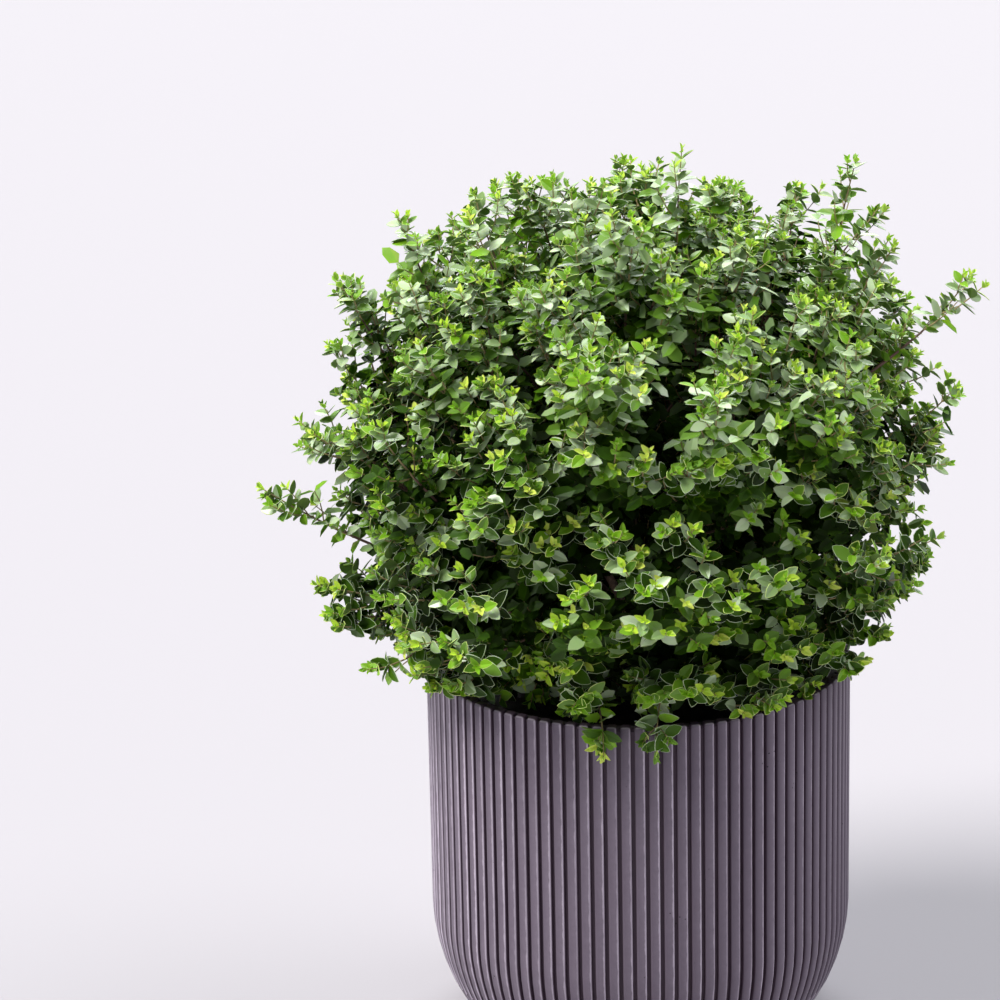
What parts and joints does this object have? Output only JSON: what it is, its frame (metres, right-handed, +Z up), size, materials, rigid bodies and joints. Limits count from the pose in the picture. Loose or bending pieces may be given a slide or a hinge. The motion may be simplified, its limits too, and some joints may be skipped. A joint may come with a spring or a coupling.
{
  "type": "potted box honeysuckle",
  "caption": "Bushy evergreen box honeysuckle with small paired leaves, planted in a round ribbed cast pot whose wall curves in to a flat base.",
  "frame": {"origin": "middle of the pot's flat underside, on the surface that the pot stands on", "axes": "+Z up along the pot's axis, -Y to the front that the picture shows, +X to its right"},
  "size_m": [0.6083, 0.5366, 0.7472],
  "materials": {
    "pot": "matt cast fibre cement in a warm purple grey",
    "compost": "dark moist potting compost",
    "bark": "thin grey brown bark with red brown young twigs",
    "leaves": "glossy dark green leaves with pale edges and bright young tips"
  },
  "bodies": {
    "root": {"pot": "pot", "compost": "compost", "stem": "bark", "bough_low_right": "bark", "foliage_low_right": "leaves", "bough_low_back_right": "bark", "foliage_low_back_right": "leaves", "bough_low_back": "bark", "foliage_low_back": "leaves", "bough_low_back_left": "bark", "foliage_low_back_left": "leaves", "bough_low_left": "bark", "foliage_low_left": "leaves", "bough_low_front_left": "bark", "foliage_low_front_left": "leaves", "bough_low_front": "bark", "foliage_low_front": "leaves", "bough_low_front_right": "bark", "foliage_low_front_right": "leaves", "bough_high_back_right": "bark", "foliage_high_back_right": "leaves", "bough_high_back_left": "bark", "foliage_high_back_left": "leaves", "bough_high_front_left": "bark", "foliage_high_front_left": "leaves", "bough_high_front_right": "bark", "foliage_high_front_right": "leaves", "bough_top": "bark", "foliage_top": "leaves"}
  },
  "joints": []
}
